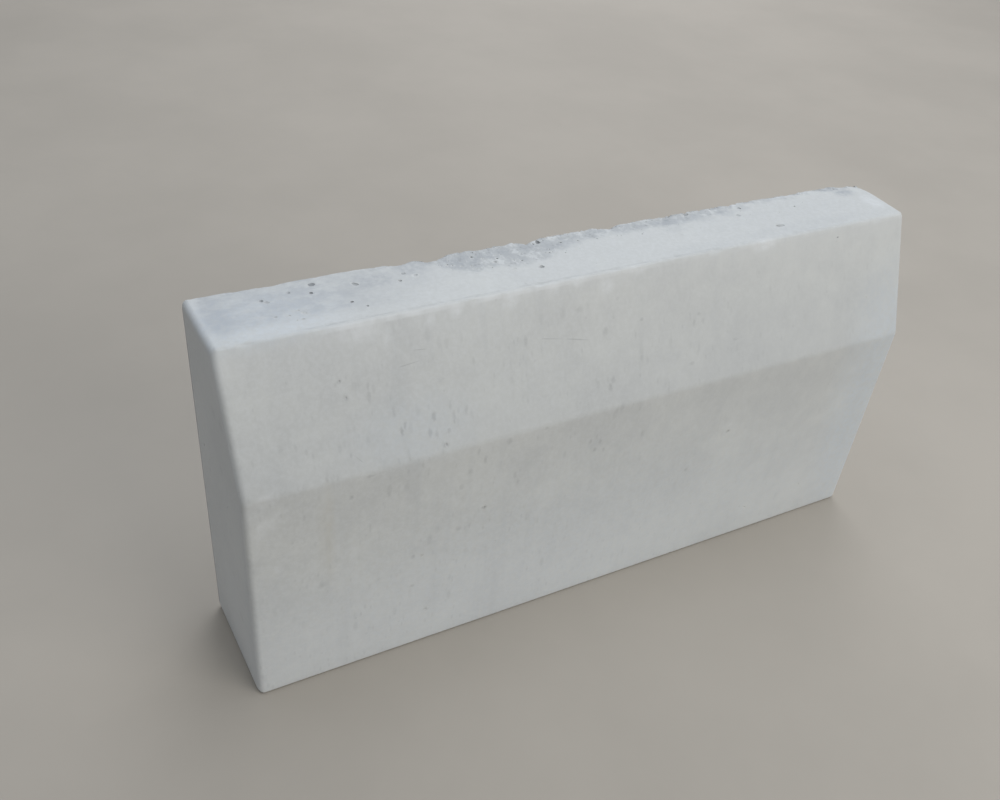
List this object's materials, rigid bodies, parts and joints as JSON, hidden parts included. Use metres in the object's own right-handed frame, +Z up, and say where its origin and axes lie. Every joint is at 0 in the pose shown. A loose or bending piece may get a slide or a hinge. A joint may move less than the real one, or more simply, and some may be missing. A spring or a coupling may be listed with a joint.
{
  "type": "concrete kerb stone",
  "caption": "Precast concrete kerb stone with a plumb lower face, a face above it that leans back, and a flat top; it stands on its base and butts end to end.",
  "frame": {"origin": "middle of the base: half way along the kerb and half way through its depth", "axes": "+X along the kerb, -Y towards the road, +Y towards the back, +Z up"},
  "size_m": [0.6, 0.1, 0.3],
  "materials": {
    "concrete": "cast smooth"
  },
  "bodies": {
    "root": {"kerb_stone": "concrete"}
  },
  "joints": []
}
